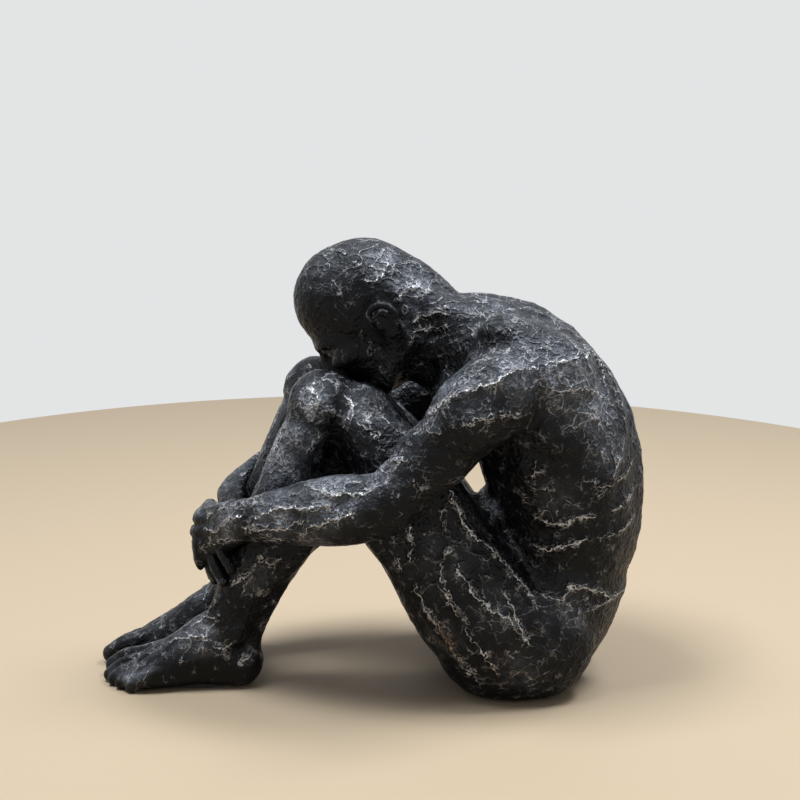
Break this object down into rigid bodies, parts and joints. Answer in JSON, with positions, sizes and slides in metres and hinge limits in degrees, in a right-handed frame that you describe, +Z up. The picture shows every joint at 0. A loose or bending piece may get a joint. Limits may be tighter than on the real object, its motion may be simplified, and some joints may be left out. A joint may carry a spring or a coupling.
{
  "type": "seated figure statue",
  "caption": "Cast statue of a seated man hugging his drawn-up knees with bowed head, black tooled finish with silver dry-brushing, resting on felt pads.",
  "frame": {"origin": "on the table, under the middle of the figure's box", "axes": "+X from the toes towards the back, +Y towards the figure's right side, +Z up"},
  "size_m": [0.3112, 0.1592, 0.2508],
  "materials": {
    "painted_resin": "cast resin, tooled surface, satin black paint dry-brushed with silver",
    "dowel_steel": "plain steel rod",
    "felt": "black felt"
  },
  "bodies": {
    "root": {"torso_casting": "painted_resin", "head_casting": "painted_resin", "left_arm_casting": "painted_resin", "right_arm_casting": "painted_resin", "left_leg_casting": "painted_resin", "right_leg_casting": "painted_resin", "neck_dowel": "dowel_steel", "left_shoulder_dowel": "dowel_steel", "right_shoulder_dowel": "dowel_steel", "left_hip_dowel": "dowel_steel", "right_hip_dowel": "dowel_steel", "seat_felt_pad": "felt", "left_foot_felt_pad": "felt", "right_foot_felt_pad": "felt"}
  },
  "joints": []
}
